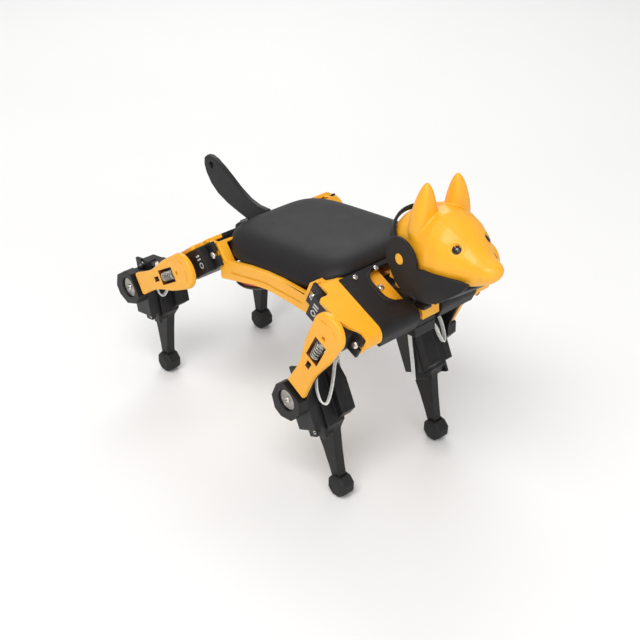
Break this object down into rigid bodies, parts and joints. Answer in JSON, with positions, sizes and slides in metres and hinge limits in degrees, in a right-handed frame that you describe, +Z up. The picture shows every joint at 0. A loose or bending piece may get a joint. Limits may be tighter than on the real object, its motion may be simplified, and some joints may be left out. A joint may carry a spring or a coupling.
{
  "type": "quadruped robot dog",
  "caption": "Palm-sized walking robot dog with servo-driven shoulders and knees, sprung thighs, turning head and opening jaw.",
  "frame": {"origin": "on the floor, under the middle of the whole dog's bounding box", "axes": "+X to the nose along the torso's heading, +Y to the dog's left, +Z up"},
  "size_m": [0.2029, 0.0986, 0.1558],
  "materials": {
    "orange_plastic": "satin",
    "black_shell": "satin",
    "black_plastic": "matte",
    "servo_case": "satin",
    "nickel": "polished",
    "spring_steel": "bright",
    "white_lead": "gloss",
    "red_lead": "gloss",
    "circuit_board": "satin",
    "battery_wrap": "gloss",
    "rubber": "matte",
    "eye_black": "gloss",
    "nylon": "satin"
  },
  "bodies": {
    "torso": {"body_frame": "orange_plastic", "back_cover": "black_shell", "chest_cover": "black_shell", "rump_cover": "black_shell", "main_board": "circuit_board", "battery_pack": "battery_wrap", "battery_leads": "red_lead", "cover_screws": "nickel", "shoulder_screws": "nickel", "shoulder_wires": "white_lead", "tail_holder": "black_plastic", "tail": "black_plastic", "head_servo": "servo_case", "shoulder_servo_fr": "servo_case", "shoulder_servo_fl": "servo_case", "shoulder_servo_rr": "servo_case", "shoulder_servo_rl": "servo_case"},
    "head": {"neck_post": "orange_plastic", "head_shell": "orange_plastic", "head_eyes": "eye_black"},
    "jaw": {"jaw": "black_shell"},
    "power_button": {"battery_button": "nylon"},
    "thigh_fr": {"hip_horn_fr": "nylon", "thigh_shell_fr": "orange_plastic", "thigh_spring_fr": "spring_steel"},
    "knee_link_fr": {"knee_link_fr": "black_plastic", "knee_horn_fr": "nickel"},
    "shank_fr": {"knee_servo_fr": "servo_case", "shank_fr": "black_plastic", "foot_sock_fr": "rubber", "knee_wire_fr": "white_lead"},
    "thigh_fl": {"hip_horn_fl": "nylon", "thigh_shell_fl": "orange_plastic", "thigh_spring_fl": "spring_steel"},
    "knee_link_fl": {"knee_link_fl": "black_plastic", "knee_horn_fl": "nickel"},
    "shank_fl": {"knee_servo_fl": "servo_case", "shank_fl": "black_plastic", "foot_sock_fl": "rubber", "knee_wire_fl": "white_lead"},
    "thigh_rr": {"hip_horn_rr": "nylon", "thigh_shell_rr": "orange_plastic", "thigh_spring_rr": "spring_steel"},
    "knee_link_rr": {"knee_link_rr": "black_plastic", "knee_horn_rr": "nickel"},
    "shank_rr": {"knee_servo_rr": "servo_case", "shank_rr": "black_plastic", "foot_sock_rr": "rubber", "knee_wire_rr": "white_lead"},
    "thigh_rl": {"hip_horn_rl": "nylon", "thigh_shell_rl": "orange_plastic", "thigh_spring_rl": "spring_steel"},
    "knee_link_rl": {"knee_link_rl": "black_plastic", "knee_horn_rl": "nickel"},
    "shank_rl": {"knee_servo_rl": "servo_case", "shank_rl": "black_plastic", "foot_sock_rl": "rubber", "knee_wire_rl": "white_lead"}
  },
  "joints": [
    {"name": "shoulder_fr", "type": "hinge", "parent": "torso", "child": "thigh_fr", "pos_m": [0.04743, -0.0436, 0.09237], "axis": [0, 1, 0], "range_deg": [-45, 30]},
    {"name": "spring_slide_fr", "type": "slide", "parent": "thigh_fr", "child": "knee_link_fr", "axis": [-0.454, 0, -0.891], "range_m": [-0.0015, 0], "stiffness_N_per_m": 900, "springref_m": 0.004, "deforming": ["thigh_spring_fr"]},
    {"name": "knee_fr", "type": "hinge", "parent": "knee_link_fr", "child": "shank_fr", "pos_m": [0.02632, -0.0436, 0.05094], "axis": [0, 1, 0], "range_deg": [-30, 40]},
    {"name": "shoulder_fl", "type": "hinge", "parent": "torso", "child": "thigh_fl", "pos_m": [0.04743, 0.0436, 0.09237], "axis": [0, 1, 0], "range_deg": [-45, 30]},
    {"name": "spring_slide_fl", "type": "slide", "parent": "thigh_fl", "child": "knee_link_fl", "axis": [-0.454, 0, -0.891], "range_m": [-0.0015, 0], "stiffness_N_per_m": 900, "springref_m": 0.004, "deforming": ["thigh_spring_fl"]},
    {"name": "knee_fl", "type": "hinge", "parent": "knee_link_fl", "child": "shank_fl", "pos_m": [0.02632, 0.0436, 0.05094], "axis": [0, 1, 0], "range_deg": [-30, 40]},
    {"name": "shoulder_rr", "type": "hinge", "parent": "torso", "child": "thigh_rr", "pos_m": [-0.05162, -0.0436, 0.07863], "axis": [0, 1, 0], "range_deg": [-55, 20]},
    {"name": "spring_slide_rr", "type": "slide", "parent": "thigh_rr", "child": "knee_link_rr", "axis": [-0.8443, 0, -0.5358], "range_m": [-0.0015, 0], "stiffness_N_per_m": 900, "springref_m": 0.004, "deforming": ["thigh_spring_rr"]},
    {"name": "knee_rr", "type": "hinge", "parent": "knee_link_rr", "child": "shank_rr", "pos_m": [-0.09089, -0.0436, 0.05371], "axis": [0, 1, 0], "range_deg": [-30, 45]},
    {"name": "shoulder_rl", "type": "hinge", "parent": "torso", "child": "thigh_rl", "pos_m": [-0.05162, 0.0436, 0.07863], "axis": [0, 1, 0], "range_deg": [-55, 20]},
    {"name": "spring_slide_rl", "type": "slide", "parent": "thigh_rl", "child": "knee_link_rl", "axis": [-0.8443, 0, -0.5358], "range_m": [-0.0015, 0], "stiffness_N_per_m": 900, "springref_m": 0.004, "deforming": ["thigh_spring_rl"]},
    {"name": "knee_rl", "type": "hinge", "parent": "knee_link_rl", "child": "shank_rl", "pos_m": [-0.09089, 0.0436, 0.05371], "axis": [0, 1, 0], "range_deg": [-30, 45]},
    {"name": "head_pan", "type": "hinge", "parent": "torso", "child": "head", "pos_m": [0.05029, 0, 0.10085], "axis": [-0.1374, 0, 0.9905], "range_deg": [-57, 73]},
    {"name": "jaw_open", "type": "hinge", "parent": "head", "child": "jaw", "pos_m": [0.06251, -0.00216, 0.12445], "axis": [0.1379, 0.9903, 0.0191], "range_deg": [0, 11], "stiffness_Nm_per_rad": 0.02, "springref_deg": -20.05},
    {"name": "power_button_press", "type": "slide", "parent": "torso", "child": "power_button", "axis": [-0.1374, 0, 0.9905], "range_m": [0, 0.0005], "stiffness_N_per_m": 400, "springref_m": -0.0003}
  ]
}
